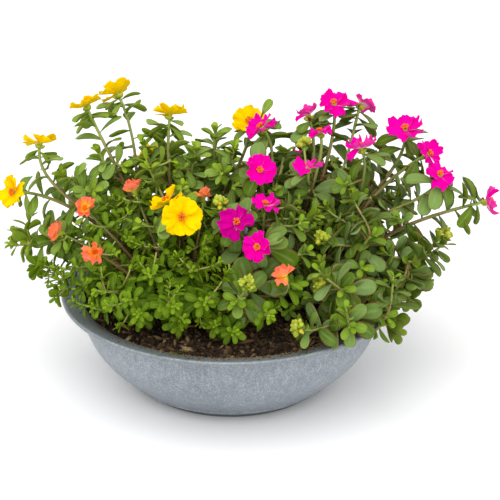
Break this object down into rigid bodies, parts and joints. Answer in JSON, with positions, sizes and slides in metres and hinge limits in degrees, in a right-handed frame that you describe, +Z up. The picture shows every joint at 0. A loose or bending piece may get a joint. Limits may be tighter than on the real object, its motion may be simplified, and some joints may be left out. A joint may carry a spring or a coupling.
{
  "type": "potted portulaca",
  "caption": "Low round zinc-look bowl filled with soil and planted with three bushy portulacas in yellow, coral and magenta bloom; stands on its flat foot",
  "frame": {"origin": "centre of the bowl's flat underside, on the surface that it stands on", "axes": "+Z up along the bowl's axis; +X to the right as the planted bowl is seen from its front, across its widest spread of flowers; +Y to the back"},
  "size_m": [0.3943, 0.2724, 0.2322],
  "materials": {
    "zinc_bowl": "grey-blue moulded plastic with a zinc look, mottled and faintly brushed, semi-matt",
    "potting_soil": "damp dark peat soil with bark crumbs, matt",
    "yellow_leaves": "fleshy mid-green leaves and yellow-green to red-brown stems, satin",
    "coral_leaves": "fleshy bright green leaves and yellow-green to red-brown stems, satin",
    "magenta_leaves": "fleshy grey-green leaves with thin reddish margins, satin",
    "yellow_petals": "thin soft yellow petals with an orange middle, satin",
    "coral_petals": "thin soft coral petals with a yellow-orange middle, satin",
    "magenta_petals": "thin soft magenta petals with orange stamens, satin"
  },
  "bodies": {
    "root": {"bowl": "zinc_bowl", "coral_bloom_10": "coral_petals", "coral_bloom_11": "coral_petals", "coral_bloom_12": "coral_petals", "coral_bloom_13": "coral_petals", "coral_bloom_14": "coral_petals", "coral_bloom_15": "coral_petals", "coral_stem_08": "coral_leaves", "coral_stem_09": "coral_leaves", "coral_stem_10": "coral_leaves", "coral_stem_11": "coral_leaves", "coral_stem_12": "coral_leaves", "coral_stem_13": "coral_leaves", "coral_stem_14": "coral_leaves", "coral_stem_15": "coral_leaves", "coral_stem_16": "coral_leaves", "magenta_bloom_16": "magenta_petals", "magenta_bloom_17": "magenta_petals", "magenta_bloom_18": "magenta_petals", "magenta_bloom_19": "magenta_petals", "magenta_bloom_20": "magenta_petals", "magenta_bloom_21": "magenta_petals", "magenta_bloom_22": "magenta_petals", "magenta_bloom_23": "magenta_petals", "magenta_bloom_24": "magenta_petals", "magenta_bloom_25": "magenta_petals", "magenta_bloom_26": "magenta_petals", "magenta_bloom_27": "magenta_petals", "magenta_bloom_28": "magenta_petals", "magenta_bloom_29": "magenta_petals", "magenta_bloom_30": "magenta_petals", "magenta_bloom_31": "magenta_petals", "magenta_bloom_32": "magenta_petals", "magenta_stem_17": "magenta_leaves", "magenta_stem_18": "magenta_leaves", "magenta_stem_19": "magenta_leaves", "magenta_stem_20": "magenta_leaves", "magenta_stem_21": "magenta_leaves", "magenta_stem_22": "magenta_leaves", "magenta_stem_23": "magenta_leaves", "magenta_stem_24": "magenta_leaves", "magenta_stem_25": "magenta_leaves", "magenta_stem_26": "magenta_leaves", "soil": "potting_soil", "yellow_bloom_01": "yellow_petals", "yellow_bloom_02": "yellow_petals", "yellow_bloom_03": "yellow_petals", "yellow_bloom_04": "yellow_petals", "yellow_bloom_05": "yellow_petals", "yellow_bloom_06": "yellow_petals", "yellow_bloom_07": "yellow_petals", "yellow_bloom_08": "yellow_petals", "yellow_bloom_09": "yellow_petals", "yellow_stem_01": "yellow_leaves", "yellow_stem_02": "yellow_leaves", "yellow_stem_03": "yellow_leaves", "yellow_stem_04": "yellow_leaves", "yellow_stem_05": "yellow_leaves", "yellow_stem_06": "yellow_leaves", "yellow_stem_07": "yellow_leaves"}
  },
  "joints": []
}
